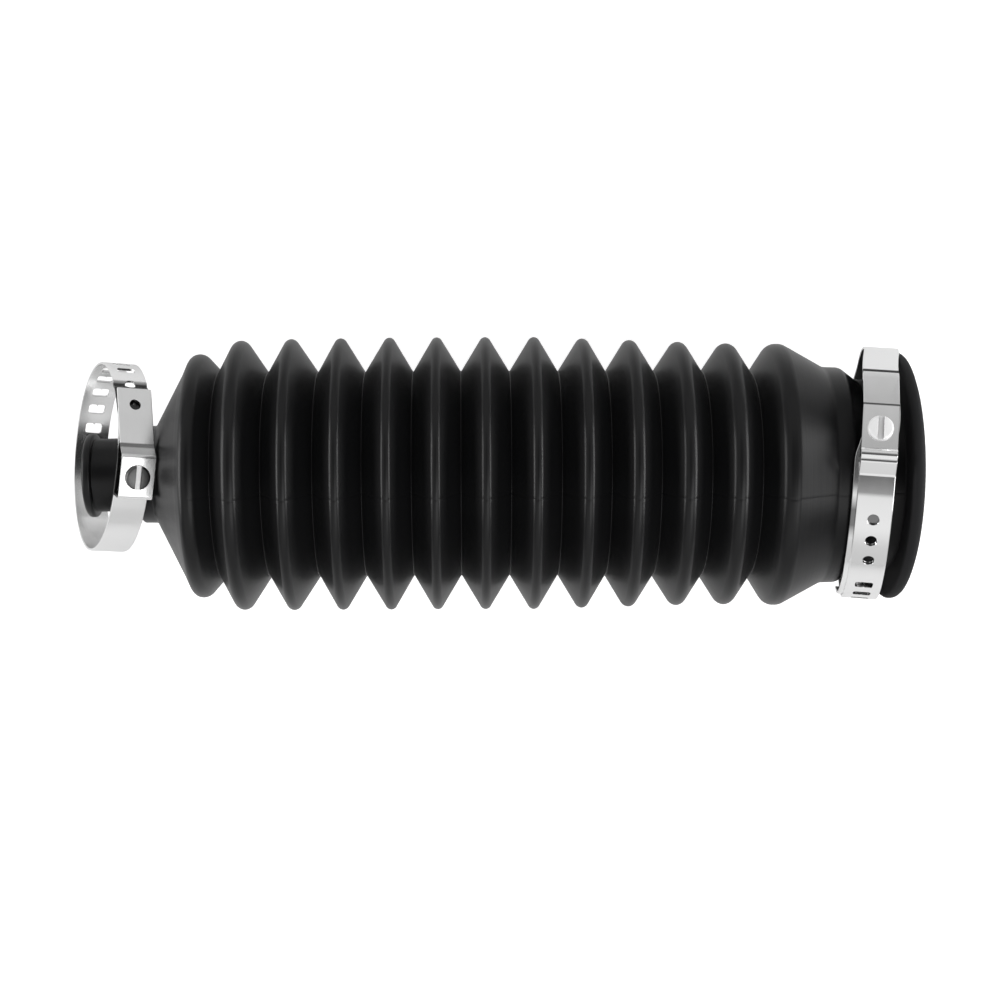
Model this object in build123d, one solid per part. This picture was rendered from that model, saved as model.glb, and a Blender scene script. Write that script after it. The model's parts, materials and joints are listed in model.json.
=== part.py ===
from build123d import *
import os
from math import atan2, cos, degrees, radians, sin, tan
from types import SimpleNamespace

# Rubber bellows boot for a rack or rod, lying on its side, with its two loose band clamps.
# X runs along the boot from the small end to the big end, Z is up and the table is Z = 0.
# All sizes are in millimetres and all angles in degrees.

# ---- bellows: ridges and folds ----
ridge_count = 13
ridge_radius = 30.0           # outside of the tall ridges
first_ridge_radius = 26.8     # the ridge next to the small end is lower
last_ridge_radius = 28.8      # the ridges get lower towards the big end
taper_from = 8                # number of the last full ridge
valley_radius = 22.8          # outside, at the bottom of a fold
first_valley_radius = 23.4
ridge_pitch = 10.6
first_pitch = 9.1
crest_half_width = 1.05       # a crest is a narrow flat band with rounded corners
crest_round = 0.9
soft_crest_round = 1.35       # the two ridges next to the small end are rounder
last_crest_round = 1.35
valley_round = 0.9
fold_wall = 1.5
inner_crest_round = 0.4
flat_depth = 0.4              # the soft ridges flatten a little where they lie on the table

# ---- bellows: small end, measured from its end face ----
small_bore_radius = 6.5
bead_radius = 9.3
bead_length = 2.0
small_seat_radius = 8.15
small_seat_length = 10.3
shoulder_radius = 10.8
shoulder_length = 3.4
knee_radius = 18.0            # half way up the cone
knee_run = 4.2
flank_radius = 22.9           # where the cone runs into the first ridge
flank_run = 2.85
crest_run = 3.09
neck_sag = 3.4                # the soft neck hangs lower under the clamp that leans on it
edge_round = 0.5

# ---- bellows: big end, measured from the last ridge ----
big_cone_run = 10.3
collar_below_ridge = 6.3      # each radius at this end is set by how far it lies inside another
collar_length = 3.6
step_run = 3.5
big_seat_depth = 2.7          # the clamp's groove, below the collar
big_seat_length = 7.7
big_end_wall = 2.0            # the rubber under the groove
lip_below_ridge = 2.8
lip_thickness = 2.6
lip_round = 1.1
lip_tilt_angle = 2.2          # the soft lip stands a little askew
step_round = 1.5

# ---- what both clamps share ----
strap_width = 7.5
strap_thickness = 0.6
layer_gap = 0.08              # between two layers of one strap
hole_radius = 1.2
rung_across = 3.7             # a ladder slot's size across the strap
rung_along = 2.4
rung_pitch = 5.0
rung_corner = 0.6
tooth_size = 0.45             # the small tooth in one edge of each slot
bend_round = 0.6
bend_lead_angle = 2.0         # degrees of ring between a bend's foot and the round strap
dive_lead_angle = 4.0         # degrees before the plate's end where the tail is fully down
head_radius = 2.8
head_height = 1.0
head_chamfer = 0.3
slot_width = 1.1
slot_depth = 0.65
shank_radius = 1.5
shank_clearance = 0.05
seat_clearance = 0.05         # between the screw's two shoulders and the plate
flange_radius = 2.2
flange_height = 0.4

# ---- small clamp: angles run round the ring from its top ----
small_ring_room = 1.8         # height of the ring's top over the shoulder's top
small_tongue_end_angle = -45.5
small_rise_foot_angle = -7.5
small_plate_start_angle = -1.0
small_plate_height = 4.0
small_plate_end_angle = 19.8
small_drop_foot_angle = 21.6
small_drop_round = 0.6
small_screw_angle = 9.2
small_tail_end_angle = 33.0
small_tongue_hole_angle = -34.0
small_strap_hole_angle = -50.5
small_first_rung_angle = -66.0
small_rung_count = 9
small_lean_angle = 24.35
small_turn_angle = -3.4
small_ring_x = 4.05           # middle of the ring, from the boot's small end face
small_ring_aside = 3.95

# ---- big clamp ----
big_ring_room = 0.7           # how far the ring's outside stands out over the lip
big_tongue_end_angle = -48.5
big_rise_foot_angle = -44.0
big_plate_start_angle = -28.0
big_plate_height = 1.9
big_plate_end_angle = -4.0
big_drop_foot_angle = 3.0
big_drop_round = 3.0
big_screw_angle = -17.8
big_tail_end_angle = 96.0
big_outer_hole_angle = 21.3
big_first_hole_angle = 31.5
big_second_hole_angle = 42.2
big_first_rung_angle = 60.6
big_rung_count = 11
big_lean_angle = -7.9
big_turn_angle = -4.1
big_ring_from_lip = 6.15      # middle of the ring, from the boot's big end face
big_ring_aside = 0.4
big_rib_angle = -6.0          # a pressed rib across the end of the plate
big_rib_radius = 0.8
big_rib_height = 0.45

# ---- sizes and places worked out from these ----
axis_height = ridge_radius - flat_depth
neck_height = axis_height - neck_sag
collar_radius = ridge_radius - collar_below_ridge
big_seat_radius = collar_radius - big_seat_depth
big_bore_radius = big_seat_radius - big_end_wall
lip_radius = ridge_radius - lip_below_ridge
small_ring_radius = (neck_height + shoulder_radius + small_ring_room) / (2 * cos(radians(small_lean_angle)))
big_ring_radius = lip_radius + big_ring_room
shoulder_x = bead_length + small_seat_length
cone_x = shoulder_x + shoulder_length
knee_x = cone_x + knee_run
flank_x = knee_x + flank_run
first_ridge_x = flank_x + crest_run
second_ridge_x = first_ridge_x + first_pitch
last_ridge_x = second_ridge_x + (ridge_count - 2) * ridge_pitch
collar_x = last_ridge_x + big_cone_run
step_x = collar_x + collar_length
big_seat_x = step_x + step_run
lip_x = big_seat_x + big_seat_length
boot_length = lip_x + lip_thickness
settling_rounds = 30          # enough for a flank's slope and its rounded end to agree


# ---- bellows ----
def sharp_excess(corner_round, flank):
    """How far two equal flanks' meeting point stands beyond the rounding that joins them."""
    return corner_round * (1 / cos(radians(flank)) - 1)


def flank_angle():
    """Slope of a full fold's flank, from the edge of its crest down to the valley's rounding."""
    run = ridge_pitch / 2 - crest_half_width
    angle = degrees(atan2(ridge_radius - valley_radius, run))
    for _ in range(settling_rounds):
        drop = ridge_radius - valley_radius + sharp_excess(valley_round, angle)
        angle = degrees(atan2(drop, run))
    return angle


def ridge(number):
    """Outer radius and crest rounding of one ridge, counted from 1 at the small end."""
    share = max(0, number - taper_from) / (ridge_count - taper_from)
    radius = ridge_radius + share * (last_ridge_radius - ridge_radius)
    rounding = crest_round + share * (last_crest_round - crest_round)
    if number == 1:
        return first_ridge_radius, soft_crest_round
    if number == 2:
        return radius, soft_crest_round
    return radius, rounding


def crest_corners(number, x, banded):
    """One ridge's crest: the two edges of its flat band, or the point where its flanks would meet."""
    radius, rounding = ridge(number)
    if banded:
        return [(x - crest_half_width, radius, rounding), (x + crest_half_width, radius, rounding)]
    return [(x, radius + crest_half_width * tan(radians(flank_angle())), rounding)]


def fold_corners(banded):
    """The folds' corners as (x, radius, rounding): crest, valley, crest and so on."""
    corners = []
    depth = sharp_excess(valley_round, flank_angle())
    for number in range(1, ridge_count + 1):
        x = first_ridge_x if number == 1 else second_ridge_x + (number - 2) * ridge_pitch
        corners += crest_corners(number, x, banded)
        if number < ridge_count:
            next_x = second_ridge_x + (number - 1) * ridge_pitch
            bottom = first_valley_radius if number == 1 else valley_radius
            corners.append(((x + next_x) / 2, bottom - depth, valley_round))
    return corners


def outer_corners(banded):
    """Corners of the outer skin from the neck's cone to the lip."""
    neck = [(cone_x, shoulder_radius, 0), (knee_x, knee_radius, 0), (flank_x, flank_radius, 0)]
    collar = [(collar_x, collar_radius, edge_round), (step_x, collar_radius, step_round),
              (big_seat_x, big_seat_radius, edge_round), (lip_x + lip_thickness / 2, big_seat_radius, 0)]
    return neck + fold_corners(banded) + collar


def inset(before, corner, after):
    """One corner of the inner skin: the outer corner moved in by the wall along both flanks."""
    rise = atan2(corner[1] - before[1], corner[0] - before[0])
    fall = atan2(after[1] - corner[1], after[0] - corner[0])
    reach = fold_wall / cos((rise - fall) / 2)
    lean = (rise + fall) / 2
    crest = rise > fall
    rounding = max(corner[2] - fold_wall, inner_crest_round) if crest else corner[2] + fold_wall
    return (corner[0] + reach * sin(lean), corner[1] - reach * cos(lean), rounding)


def at_radius(one, other, radius):
    """Where the line through two corners reaches a radius."""
    x = one[0] + (other[0] - one[0]) * (radius - one[1]) / (other[1] - one[1])
    return (x, radius, 0)


def inner_corners():
    """Corners of the inner skin, from the small bore to the big bore."""
    skin = outer_corners(banded=False)
    inner = [inset(*skin[i - 1:i + 2]) for i in range(1, len(skin) - 1)]
    cone_slope = (knee_radius - shoulder_radius) / knee_run
    knee = inner[0]
    start = (knee[0] - (knee[1] - small_bore_radius) / cone_slope, small_bore_radius, 0)
    end = at_radius(inner[-2], inner[-1], big_bore_radius)
    return [start] + inner[:-1] + [end, (boot_length + lip_radius, big_bore_radius, 0)]


def turned(corners):
    """A full solid turned round the X axis, with rounded corners."""
    path = [(corners[0][0], 0), *[(x, r) for x, r, _ in corners], (corners[-1][0], 0)]
    rounds = [0, *[c[2] for c in corners], 0]
    outline = FilletPolyline(*path, radius=rounds, close=True)
    return revolve(make_face(Plane.XZ * outline), Axis.X)


def neck_drop(radius):
    """How far a section of the neck's cone hangs below the boot's axis."""
    share = (flank_radius - radius) / (flank_radius - shoulder_radius)
    return neck_sag * min(1, max(0, share))


def section(x, radius, drop):
    """A round section of the neck's cone."""
    return Plane((x, 0, -drop), x_dir=(0, 1, 0), z_dir=(1, 0, 0)) * Circle(radius)


def skewed_cone(corners, drops):
    """The neck's cone through its sections, each lower than the next."""
    sections = [section(c[0], c[1], drop) for c, drop in zip(corners, drops)]
    cone = loft([sections[0], sections[1]], ruled=True)
    return cone + loft([sections[1], sections[2]], ruled=True)


def neck():
    """The cuff: bead, clamp seat and shoulder, hanging at the neck's own height."""
    corners = [(0, bead_radius, bead_length * 0.4), (bead_length, bead_radius, edge_round),
               (bead_length, small_seat_radius, 0), (shoulder_x, small_seat_radius, 0),
               (shoulder_x, shoulder_radius, edge_round), (cone_x, shoulder_radius, 0)]
    return Pos(0, 0, -neck_sag) * turned(corners)


def lip():
    """The flange that ends the big seat, tilted about Z."""
    disc = Cylinder(lip_radius, lip_thickness)
    disc = fillet(disc.edges().filter_by(GeomType.CIRCLE), lip_round)
    return Pos(lip_x + lip_thickness / 2, 0, 0) * Rot(0, 0, -lip_tilt_angle) * Rot(0, 90, 0) * disc


def bellows():
    """The boot as one moulded solid, lying on its flattened ridges."""
    outer, inner = outer_corners(banded=True), inner_corners()
    drops = [neck_drop(c[1]) for c in outer[:3]]
    body = neck() + skewed_cone(outer[:3], drops) + turned(outer[2:]) + lip()
    bore_start = Pos(inner[0][0] / 2, 0, -neck_sag) * Rot(0, 90, 0)
    hollow = bore_start * Cylinder(small_bore_radius, inner[0][0])
    hollow += skewed_cone(inner[:3], drops)
    hollow += turned(inner[2:])
    boot = Pos(0, 0, axis_height) * (body - hollow)
    table = Pos(boot_length / 2, 0, -ridge_radius) * Box(2 * boot_length, 4 * ridge_radius, 2 * ridge_radius)
    return boot - table


# ---- clamps, drawn in the ring's own plane: x aside, y up, angles from the top ----
def polar(radius, angle):
    return (radius * sin(radians(angle)), radius * cos(radians(angle)))


def ring_arc(radius, start, end):
    return CenterArc((0, 0), radius, 90 - start, start - end)


def along(angle):
    """Direction of travel round the ring at an angle."""
    return (cos(radians(angle)), -sin(radians(angle)))


def strap_line(clamp):
    """Middle line of the strap: tongue, bridge, one turn of the ring, and the tail inside."""
    ring = clamp.ring_radius - strap_thickness / 2
    tongue = ring + strap_thickness + layer_gap
    tail = ring - strap_thickness - layer_gap
    plate = ring + clamp.plate_height
    rise_end = clamp.rise_foot - bend_lead_angle
    drop_end = clamp.drop_foot + bend_lead_angle
    bridge = FilletPolyline(polar(tongue, rise_end), polar(tongue, clamp.rise_foot),
                            polar(plate, clamp.plate_start), polar(plate, clamp.plate_end),
                            polar(ring, clamp.drop_foot), polar(ring, drop_end),
                            radius=[bend_round, bend_round, bend_round, clamp.drop_round])
    dive_end = clamp.plate_end - dive_lead_angle
    dive = Spline(polar(ring, rise_end), polar(tail, dive_end),
                  tangents=[along(rise_end), along(dive_end)])
    parts = [ring_arc(tongue, clamp.tongue_end, rise_end), bridge,
             ring_arc(ring, drop_end, 360 + rise_end), dive, ring_arc(tail, dive_end, clamp.tail_end)]
    return Wire([edge for part in parts for edge in part.edges()])


def radial(radius, angle):
    """A plane that faces out of the ring: x across the strap, y along it."""
    across, up = polar(1, angle)
    return Plane((radius * across, radius * up, 0), x_dir=(0, 0, 1), z_dir=(across, up, 0))


def plate_face(clamp, angle):
    """A plane on the bridge's flat top, where a radius at this angle meets it."""
    middle = (clamp.plate_start + clamp.plate_end) / 2
    corner = clamp.ring_radius - strap_thickness / 2 + clamp.plate_height
    height = corner * cos(radians(clamp.plate_end - middle)) + strap_thickness / 2
    return radial(height, middle) * Pos(0, height * tan(radians(angle - middle)), 0)


def punch(radius, depth):
    """A round punch that reaches a depth below the face it stands on."""
    return Cylinder(radius, 2 * depth)


def rung_punch(depth):
    """A punch for one ladder slot with its small tooth."""
    slot = RectangleRounded(rung_across, rung_along, rung_corner)
    slot -= Pos(0, (rung_along - tooth_size) / 2) * Rectangle(tooth_size, tooth_size)
    return extrude(slot, amount=depth, both=True)


def rib(clamp):
    """The pressed rib across the end of the plate."""
    lie_across = Pos(0, 0, clamp.rib_height - clamp.rib_radius) * Rot(0, 90, 0)
    return plate_face(clamp, clamp.rib_angle) * lie_across * Cylinder(clamp.rib_radius, strap_width)


def strap(clamp):
    """The clamp's one strip of steel, with its bridge, holes and ladder."""
    one_layer = strap_thickness + layer_gap / 2
    all_layers = 4 * one_layer
    band = extrude(trace(strap_line(clamp), line_width=strap_thickness), amount=strap_width / 2, both=True)
    if clamp.rib_height:
        band += rib(clamp)
    band -= radial(clamp.outer_hole_radius, clamp.outer_hole) * punch(hole_radius, one_layer)
    for angle in clamp.through_holes:
        band -= radial(clamp.ring_radius, angle) * punch(hole_radius, all_layers)
    rung_step = degrees(rung_pitch / clamp.ring_radius)
    for number in range(clamp.rung_count):
        angle = clamp.first_rung + clamp.rung_way * number * rung_step
        band -= radial(clamp.ring_radius, angle) * rung_punch(all_layers)
    return band - plate_face(clamp, clamp.screw_angle) * punch(shank_radius + shank_clearance, all_layers)


def screw(clamp):
    """The slotted screw: head on the plate, shank through it and a swaged flange below."""
    head = Pos(0, 0, seat_clearance + head_height / 2) * Cylinder(head_radius, head_height)
    head = chamfer(head.edges().group_by(Axis.Z)[-1], head_chamfer)
    top = seat_clearance + head_height
    head -= Pos(0, 0, top) * Box(slot_width, 3 * head_radius, 2 * slot_depth)
    bottom = -strap_thickness - seat_clearance - flange_height
    shank = Pos(0, 0, (bottom + seat_clearance) / 2) * Cylinder(shank_radius, seat_clearance - bottom)
    flange = Pos(0, 0, bottom + flange_height / 2) * Cylinder(flange_radius, flange_height)
    return plate_face(clamp, clamp.screw_angle) * (head + shank + flange)


def ring_place(clamp, x):
    """Where the ring stands: on its lowest edge on the table, leaning and turned."""
    lean = radians(abs(clamp.lean))
    height = clamp.ring_radius * cos(lean) + strap_width / 2 * sin(lean)
    stand = Plane((0, 0, 0), x_dir=(0, -1, 0), z_dir=(-1, 0, 0)).location
    return Pos(x, clamp.aside, height) * Rot(0, 0, clamp.turn) * Rot(0, clamp.lean, 0) * stand


small_clamp = SimpleNamespace(
    ring_radius=small_ring_radius, tongue_end=small_tongue_end_angle, rise_foot=small_rise_foot_angle,
    plate_start=small_plate_start_angle, plate_height=small_plate_height, plate_end=small_plate_end_angle,
    drop_foot=small_drop_foot_angle, drop_round=small_drop_round, tail_end=small_tail_end_angle,
    screw_angle=small_screw_angle, outer_hole=small_tongue_hole_angle,
    outer_hole_radius=small_ring_radius + strap_thickness + layer_gap,
    through_holes=(small_strap_hole_angle,), first_rung=small_first_rung_angle, rung_way=-1,
    rung_count=small_rung_count, rib_height=0, lean=small_lean_angle, turn=small_turn_angle,
    aside=small_ring_aside)
big_clamp = SimpleNamespace(
    ring_radius=big_ring_radius, tongue_end=big_tongue_end_angle, rise_foot=big_rise_foot_angle,
    plate_start=big_plate_start_angle, plate_height=big_plate_height, plate_end=big_plate_end_angle,
    drop_foot=big_drop_foot_angle, drop_round=big_drop_round, tail_end=big_tail_end_angle,
    screw_angle=big_screw_angle, outer_hole=big_outer_hole_angle, outer_hole_radius=big_ring_radius,
    through_holes=(big_first_hole_angle, big_second_hole_angle), first_rung=big_first_rung_angle, rung_way=1,
    rung_count=big_rung_count, rib_height=big_rib_height, rib_angle=big_rib_angle,
    rib_radius=big_rib_radius, lean=big_lean_angle, turn=big_turn_angle, aside=big_ring_aside)


def build():
    """All pieces by node name, with the whole thing's middle over X = 0."""
    small_place = ring_place(small_clamp, small_ring_x)
    big_place = ring_place(big_clamp, boot_length - big_ring_from_lip)
    pieces = {"bellows": bellows(),
              "small_strap": small_place * strap(small_clamp),
              "small_screw": small_place * screw(small_clamp),
              "big_strap": big_place * strap(big_clamp),
              "big_screw": big_place * screw(big_clamp)}
    boxes = [piece.bounding_box() for piece in pieces.values()]
    middle = (min(box.min.X for box in boxes) + max(box.max.X for box in boxes)) / 2
    print("the boot's small end face is at X = %.3f mm" % -middle)
    return {name: Pos(-middle, 0, 0) * piece for name, piece in pieces.items()}


os.makedirs("parts", exist_ok=True)
for name, piece in build().items():
    export_step(piece, "parts/%s.step" % name)
    box = piece.bounding_box()
    print("%s: %.0f mm3, from %s to %s" % (name, piece.volume, box.min, box.max))
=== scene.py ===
# %% [markdown]
# # A rubber bellows boot and its two band clamps
# A bellows boot keeps dirt and water off a rod that slides in and out of a housing. Its wide end
# is clamped on the housing, its narrow end on the rod, and the folds between them open and close.
# Here it lies on a table, with a loose band clamp standing round each end and leaning on it.
#
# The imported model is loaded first. Its solids give every size and place, and they carry the parts
# that move. Then each piece is modelled again, with the detail a close look asks for.

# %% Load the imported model
import json
import math

import bpy
from mathutils import Matrix, Vector

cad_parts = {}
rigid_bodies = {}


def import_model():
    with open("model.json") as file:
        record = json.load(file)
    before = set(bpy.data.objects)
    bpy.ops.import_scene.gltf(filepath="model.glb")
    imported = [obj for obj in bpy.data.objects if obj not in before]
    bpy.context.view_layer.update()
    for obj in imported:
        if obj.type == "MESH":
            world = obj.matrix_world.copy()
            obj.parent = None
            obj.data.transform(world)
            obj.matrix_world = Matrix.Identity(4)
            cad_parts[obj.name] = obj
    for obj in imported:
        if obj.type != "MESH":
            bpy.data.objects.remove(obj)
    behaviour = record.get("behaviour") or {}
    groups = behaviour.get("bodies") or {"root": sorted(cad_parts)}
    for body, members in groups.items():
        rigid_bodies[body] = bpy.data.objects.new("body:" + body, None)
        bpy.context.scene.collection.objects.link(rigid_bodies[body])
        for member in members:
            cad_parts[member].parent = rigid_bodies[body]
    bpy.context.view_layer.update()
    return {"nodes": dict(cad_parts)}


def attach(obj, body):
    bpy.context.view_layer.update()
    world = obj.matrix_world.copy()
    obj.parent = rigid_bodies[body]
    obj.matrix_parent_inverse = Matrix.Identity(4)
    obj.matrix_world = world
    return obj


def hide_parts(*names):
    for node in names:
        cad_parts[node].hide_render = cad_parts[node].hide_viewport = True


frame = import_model()
bpy.ops.object.select_all(action="DESELECT")
print("loaded", sorted(frame["nodes"]))

# %% [markdown]
# Sizes are easier to read in millimetres, and Blender works in metres, so one value turns one
# into the other. The next helpers do what a hand does in edit mode: start a mesh as one point,
# pull that point along to draw a line, pick some points by their place, and leave edit mode with
# the shading smoothed. Drawing whole lists of points at once would be shorter, but these steps can
# be repeated by hand.

# %% Small helpers
mm = 0.001


def start_point(name, place):
    """A new mesh that is one point, open in edit mode with the point selected."""
    bpy.ops.mesh.primitive_plane_add(size=mm, location=place)
    piece = bpy.context.object
    piece.name = piece.data.name = name
    bpy.ops.object.transform_apply()
    bpy.ops.object.mode_set(mode="EDIT")
    bpy.ops.mesh.select_all(action="SELECT")
    bpy.ops.mesh.merge(type="CENTER")
    return piece


def draw_through(places):
    """Pulls the selected point from the first place through all the others, leaving a line."""
    for before, place in zip(places, places[1:]):
        bpy.ops.mesh.extrude_region_move(TRANSFORM_OT_translate={"value": place - before})


def pick(test):
    """Selects the points of the open mesh that pass the test, and nothing else."""
    bpy.ops.mesh.select_mode(type="VERT")
    bpy.ops.mesh.select_all(action="DESELECT")
    bpy.ops.object.mode_set(mode="OBJECT")
    for point in bpy.context.object.data.vertices:
        point.select = test(point.co)
    bpy.ops.object.mode_set(mode="EDIT")


def near(place, reach=0.02 * mm):
    """A test that only points at this place pass."""
    return lambda co: (co - place).length < reach


def close_mesh(smooth_angle, flat_faces=False):
    """Leaves edit mode and smooths all but the sharp edges, and keeps flat faces flat if asked."""
    bpy.ops.object.mode_set(mode="OBJECT")
    bpy.ops.object.shade_smooth_by_angle(angle=math.radians(smooth_angle))
    if flat_faces:
        weighted = bpy.context.object.modifiers.new("flat_faces", "WEIGHTED_NORMAL")
        weighted.keep_sharp = True
        bpy.ops.object.modifier_apply(modifier="flat_faces")
    return bpy.context.object


print("1 mm is", mm, "m")

# %% [markdown]
# A bevel on a point of a line cuts the same length off the two lines that meet there. So that
# length is worked out from the rounding wanted and from how sharply the line turns. It stays
# below half of the shorter line, so the bevels of two corners never meet.

# %% Round one corner of a drawn line
bevel_share = 0.48


def round_corner(before, place, after, rounding, segments):
    """Rounds the corner at a place, and stays inside the shorter of its two lines."""
    into, out = place - before, after - place
    length = min(rounding * mm * math.tan(into.angle(out) / 2),
                 bevel_share * into.length, bevel_share * out.length)
    pick(near(place))
    bpy.ops.mesh.bevel(offset=length, affect="VERTICES", segments=segments, profile=0.5)


print("a bevel takes at most", bevel_share, "of a line")

# %% [markdown]
# ## The boot
# The boot is moulded in one piece. Cut along its length it shows one closed outline: the outer
# skin with its folds, and the inner skin a little inside it. A stack of cones would look alike
# from outside, but a spun outline gives the wall and both open ends too. It is drawn as a row of
# sharp corners first, because corners are easy to place. Then each corner is rounded, tight on
# the tall ridges and softer on those near the ends.

# %% The outline's corners, as (place along the boot, radius, rounding) in mm
axis_z = 29.6
ridges = ((-60.6, 26.85, 2.1), (-51.4, 29.7, 1.8), (-40.4, 29.9, 1.35), (-29.6, 29.95, 1.25),
          (-18.95, 30.0, 1.2), (-8.65, 30.0, 1.2), (1.9, 30.0, 1.2), (12.55, 30.0, 1.25),
          (23.1, 29.7, 1.35), (33.4, 29.4, 1.5), (44.0, 29.05, 1.65), (54.5, 28.8, 1.85),
          (65.2, 28.8, 2.2))
valley_radius, valley_round = 22.5, 0.15
valley_corner = valley_radius - 0.6 * valley_round  # rounding it lifts the fold's bottom again
first_valley_rise = 0.7  # the fold next to the small end is shallower
leaning_folds, lean = (1, 2), 0.4  # two folds lean towards the big end
crest_share = 0.58  # half of a crest's flat band, for each millimetre of its rounding
wall = 1.5
inner_crest_drop, inner_crest_round = 0.9 * wall, 0.5
inner_valley_drop, inner_valley_round = 1.9 * wall - 0.5, valley_round + wall

small_end = [(-86.45, 9.3, 0.8), (-84.45, 9.3, 0.5),  # a bead
             (-84.45, 8.15, 0.2), (-74.15, 8.15, 0.3),  # the clamp's seat
             (-74.15, 10.8, 0.5), (-70.7, 10.8, 0.9), (-63.5, 23.2, 3.5)]  # a shoulder, the cone
big_end = [(75.5, 23.8, 2.0), (79.1, 23.7, 1.6),  # the collar
           (82.6, 21.0, 0.9), (90.2, 21.0, 0.4),  # the clamp's groove
           (90.2, 27.2, 0.9), (92.3, 27.2, 1.3), (93.15, 25.0, 2.0)]  # the lip
big_bore = [(93.15, 19.0, 0.4), (82.7, 19.0, 0.4), (78.4, 22.2, 1.0), (75.2, 22.2, 1.0)]
small_bore = [(-62.0, 22.6, 1.0), (-71.8, 6.5, 0.5), (-86.45, 6.5, 0.4)]


def outer_skin():
    """The small end, the folds from outside and the big end."""
    skin = []
    for number, (x, radius, rounding) in enumerate(ridges):
        half = crest_share * rounding
        skin += [(x - half, radius, rounding), (x + half, radius, rounding)]
        if number + 1 < len(ridges):
            middle = (x + ridges[number + 1][0]) / 2 + (lean if number in leaning_folds else 0)
            bottom = valley_corner + (first_valley_rise if number == 0 else 0)
            skin.append((middle, bottom, valley_round))
    return small_end + skin + big_end


def inner_skin():
    """The big bore, the same folds from inside and the small bore."""
    skin = []
    for number in reversed(range(len(ridges))):
        x, radius, _ = ridges[number]
        skin.append((x, radius - inner_crest_drop, inner_crest_round))
        if number:
            middle = (x + ridges[number - 1][0]) / 2
            skin.append((middle, valley_radius - inner_valley_drop, inner_valley_round))
    return big_bore + skin + small_bore


corners = outer_skin() + inner_skin()
print("the outline has", len(corners), "corners")

# %% [markdown]
# The outline starts as one point at the small end's rim and is pulled from corner to corner, as a
# pen draws. Its last point is joined to the first, and then the corners are rounded one by one.
# The crests and the lip get more steps than the rest, because they catch the light, and the
# inside gets the fewest, because it hardly shows.

# %% Draw the outline and round its corners
crest_from = 25  # mm from the axis, and every corner further out is a crest or the lip
places = [Vector((x, 0, axis_z + radius)) * mm for x, radius, _ in corners]
boot = start_point("bellows_boot", places[0])
draw_through(places)
pick(lambda co: near(places[0])(co) or near(places[-1])(co))
bpy.ops.mesh.edge_face_add()
outer_count = len(outer_skin())
for index, (_, radius, rounding) in enumerate(corners):
    steps = 2 if index >= outer_count else 4 if radius > crest_from else 3
    after = places[(index + 1) % len(places)]
    round_corner(places[index - 1], places[index], after, rounding, steps)
print("the outline has", len(boot.data.vertices), "points")

# %% [markdown]
# Now the outline is spun once round the axis. Where the boot lies on the table its soft ridges
# are pressed a little flat. The mould's two halves meet along the boot and leave a hair-thin
# raised line there. A separate thread of rubber would look stuck on, so one row of edges is
# bevelled and its middle is pushed out a trace. The small end and the bores stay clear of it.

# %% Spin, flatten the underside and raise the mould line
def spin_whole(steps, center, axis):
    """Spins the open outline a full turn and closes the seam."""
    bpy.ops.mesh.select_all(action="SELECT")
    bpy.ops.mesh.spin(steps=steps, angle=math.tau, center=center, axis=axis)
    bpy.ops.mesh.select_all(action="SELECT")
    bpy.ops.mesh.remove_doubles(threshold=0.001 * mm)
    bpy.ops.mesh.normals_make_consistent(inside=False)


turns = 240
line_turn = math.radians(-7 * 360 / turns)  # the seventh row of edges from the top
line_from, line_to, line_radius = -60 * mm, 90 * mm, 20.8 * mm
line_half_width, line_height = 0.1 * mm, 0.03 * mm


def on_mould_line(co):
    """Whether a point lies in the row of edges where the mould's halves meet."""
    up = co.z - axis_z * mm
    return (line_from < co.x < line_to and abs(math.atan2(co.y, up) - line_turn) < 0.002
            and math.hypot(co.y, up) > line_radius)


spin_whole(turns, (0, 0, axis_z * mm), (1, 0, 0))
pick(on_mould_line)
bpy.ops.mesh.bevel(offset=line_half_width, segments=2, profile=1.0)
bpy.ops.mesh.select_less()
bpy.ops.transform.shrink_fatten(value=-line_height)
pick(lambda co: co.z < 0)
bpy.ops.transform.resize(value=(1, 1, 0), center_override=(0, 0, 0))
bpy.ops.object.mode_set(mode="OBJECT")
print("the boot has", len(boot.data.polygons), "faces")

# %% [markdown]
# A rubber boot never lies perfectly true. The folds bow a little to one side, the clamp that
# leans on the cuff makes the neck hang lower, and the lip stands slightly askew. A lattice could
# do all of that at once, but three plain moves are easier to read. A Simple Deform bends the whole
# boot by some two degrees, which turns the lip too. Then the cuff is let down and the lip is moved
# aside, both with a soft falloff, so that the rubber next to them follows.

# %% Bow the boot and let the neck hang
bow_angle, bow_turned_back, bow_moved_back = math.radians(-2.3), math.radians(-0.19), 0.34 * mm
cuff_end, cuff_way, cuff_reach = -73.7 * mm, (0, 0.6 * mm, -3.45 * mm), 14 * mm
lip_start, lip_way, lip_reach = 90 * mm, (0, 0.25 * mm, 0), 20 * mm


def drag(test, way, reach):
    """Moves the points that pass the test, and the mesh round them less and less."""
    pick(test)
    bpy.ops.transform.translate(value=way, use_proportional_edit=True,
                                proportional_edit_falloff="SMOOTH", proportional_size=reach)


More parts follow.
